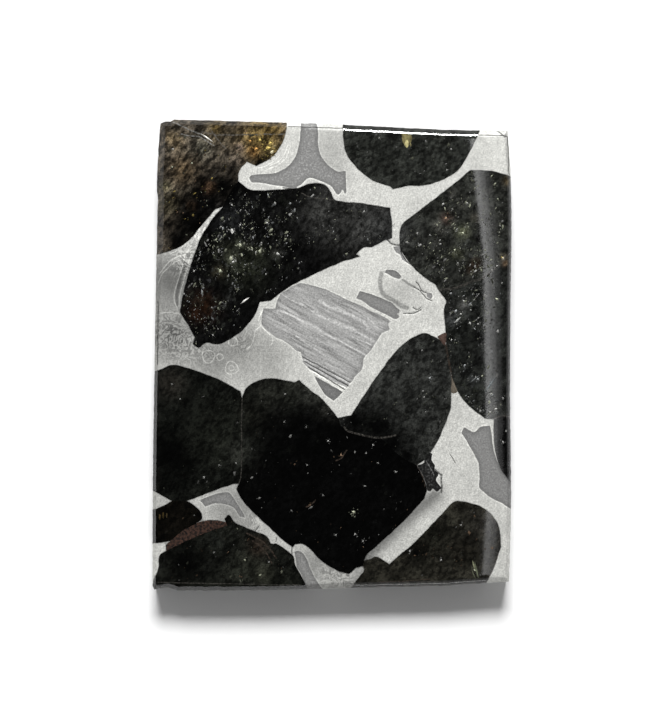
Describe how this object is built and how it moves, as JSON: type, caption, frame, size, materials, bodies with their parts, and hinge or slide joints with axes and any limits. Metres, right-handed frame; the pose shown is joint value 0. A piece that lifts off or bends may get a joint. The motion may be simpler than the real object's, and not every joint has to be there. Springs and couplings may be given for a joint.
{
  "type": "pallasite meteorite slice",
  "caption": "Flat sawn slab of a stony-iron meteorite: dark rounded olivine crystals held in a web of etched nickel iron, with bevelled edges.",
  "frame": {"origin": "centre of the slab's bounding box, on the flat back face that it lies on", "axes": "+Z out of the polished front face, +Y along the long side towards the gold corner's end, +X along the short side"},
  "size_m": [0.036, 0.0472, 0.004],
  "materials": {
    "olivine": "polished",
    "olivine_gold": "polished",
    "nickel_iron": "satin",
    "rust": "matte"
  },
  "bodies": {
    "root": {"metal_web": "nickel_iron", "metal_lower_left": "nickel_iron", "metal_left_wedge": "nickel_iron", "metal_left_corner": "nickel_iron", "metal_lower_right": "nickel_iron", "olivine_gold_corner": "olivine_gold", "olivine_upper_left": "olivine", "olivine_top": "olivine", "olivine_upper_right": "olivine", "olivine_right": "olivine", "olivine_right_edge": "olivine", "olivine_heart_right": "olivine", "olivine_heart_left": "olivine", "olivine_left": "olivine", "olivine_left_small": "olivine", "olivine_lower_left": "olivine", "olivine_lower_right": "olivine", "rust_seam": "rust"}
  },
  "joints": []
}
